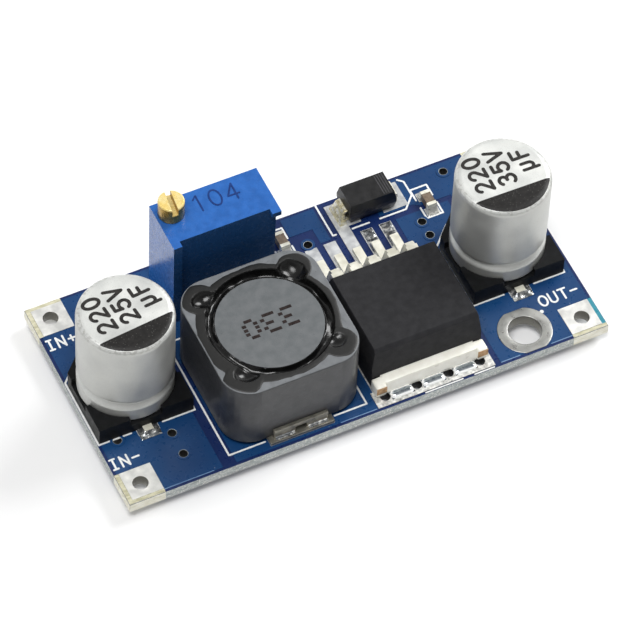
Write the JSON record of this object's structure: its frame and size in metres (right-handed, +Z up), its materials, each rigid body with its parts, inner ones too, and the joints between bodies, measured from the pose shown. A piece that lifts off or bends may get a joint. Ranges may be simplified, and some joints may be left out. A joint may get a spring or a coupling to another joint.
{
  "type": "boost converter module",
  "caption": "Step-up voltage converter on a blue circuit board with electrolytic capacitors, a shielded inductor, a power chip, a diode and a screw-adjusted trimmer",
  "frame": {"origin": "on the board's underside, at the centre of the two mounting holes, which is the board's centre", "axes": "+X runs along the board from the input end to the output end, +Y to the trimmer's long edge, +Z up out of the component side"},
  "size_m": [0.043, 0.021, 0.0136],
  "materials": {
    "solder_mask": "semi-gloss blue solder mask over glass-fibre laminate",
    "tinned_copper": "tinned copper, lightly scratched",
    "tinned_lead": "dull tin plating",
    "solder": "bright solder",
    "can_aluminium": "satin drawn aluminium",
    "black_plastic": "moulded, satin",
    "ferrite": "matte sintered ferrite",
    "enamelled_copper": "enamelled wire",
    "black_resin": "glossy cast resin",
    "mould_compound": "matte mould compound",
    "ceramic_tan": "matte ceramic",
    "resistor_black": "glazed black",
    "blue_plastic": "moulded, glossy",
    "screw_brass": "turned brass",
    "seal_rubber": "silicone rubber",
    "white_plastic": "moulded",
    "spring_alloy": "spring strip",
    "ceramic_white": "alumina plate",
    "potting": "cast resin"
  },
  "bodies": {
    "module": {"circuit_board": "solder_mask", "terminal_in_pos": "tinned_copper", "terminal_in_neg": "tinned_copper", "terminal_out_pos": "tinned_copper", "terminal_out_neg": "tinned_copper", "mount_ring_front": "tinned_copper", "mount_ring_back": "tinned_copper", "vias": "tinned_copper", "tab_land": "tinned_copper", "component_lands": "tinned_copper", "input_cap_leads": "tinned_lead", "output_cap_leads": "tinned_lead", "inductor_clip_front": "tinned_lead", "inductor_clip_back": "tinned_lead", "ic_tab": "tinned_lead", "ic_lead_1": "tinned_lead", "ic_lead_2": "tinned_lead", "ic_lead_3": "tinned_lead", "ic_lead_4": "tinned_lead", "ic_lead_5": "tinned_lead", "diode_lead_left": "tinned_lead", "diode_lead_right": "tinned_lead", "left_ceramic_ends": "tinned_lead", "right_ceramic_ends": "tinned_lead", "resistor_ends": "tinned_lead", "trimmer_pin_1": "tinned_lead", "trimmer_pin_2": "tinned_lead", "trimmer_pin_3": "tinned_lead", "trimmer_solder": "solder", "input_cap_can": "can_aluminium", "output_cap_can": "can_aluminium", "input_cap_base": "black_plastic", "output_cap_base": "black_plastic", "inductor_shield": "ferrite", "inductor_drum": "ferrite", "inductor_winding": "enamelled_copper", "inductor_resin": "black_resin", "ic_body": "mould_compound", "diode_body": "mould_compound", "left_ceramic_body": "ceramic_tan", "right_ceramic_body": "ceramic_tan", "resistor_body": "resistor_black", "trimmer_housing": "blue_plastic", "trimmer_seal": "seal_rubber", "trimmer_element": "ceramic_white", "trimmer_potting": "potting"},
    "screw": {"trimmer_screw": "screw_brass"},
    "wiper": {"trimmer_carriage": "white_plastic", "trimmer_wiper": "spring_alloy"}
  },
  "joints": [
    {"name": "screw_turn", "type": "hinge", "parent": "module", "child": "screw", "pos_m": [-0.00962, 0.00777, 0.011], "axis": [0, 0, 1], "range_deg": [-4590, 4410]},
    {"name": "wiper_slide", "type": "slide", "parent": "module", "child": "wiper", "axis": [0, 0, 1], "range_m": [-0.00196, 0.00204]}
  ],
  "couplings": [
    {"joint": "screw_turn", "follows": "wiper_slide", "rad_per_m": -39270}
  ]
}
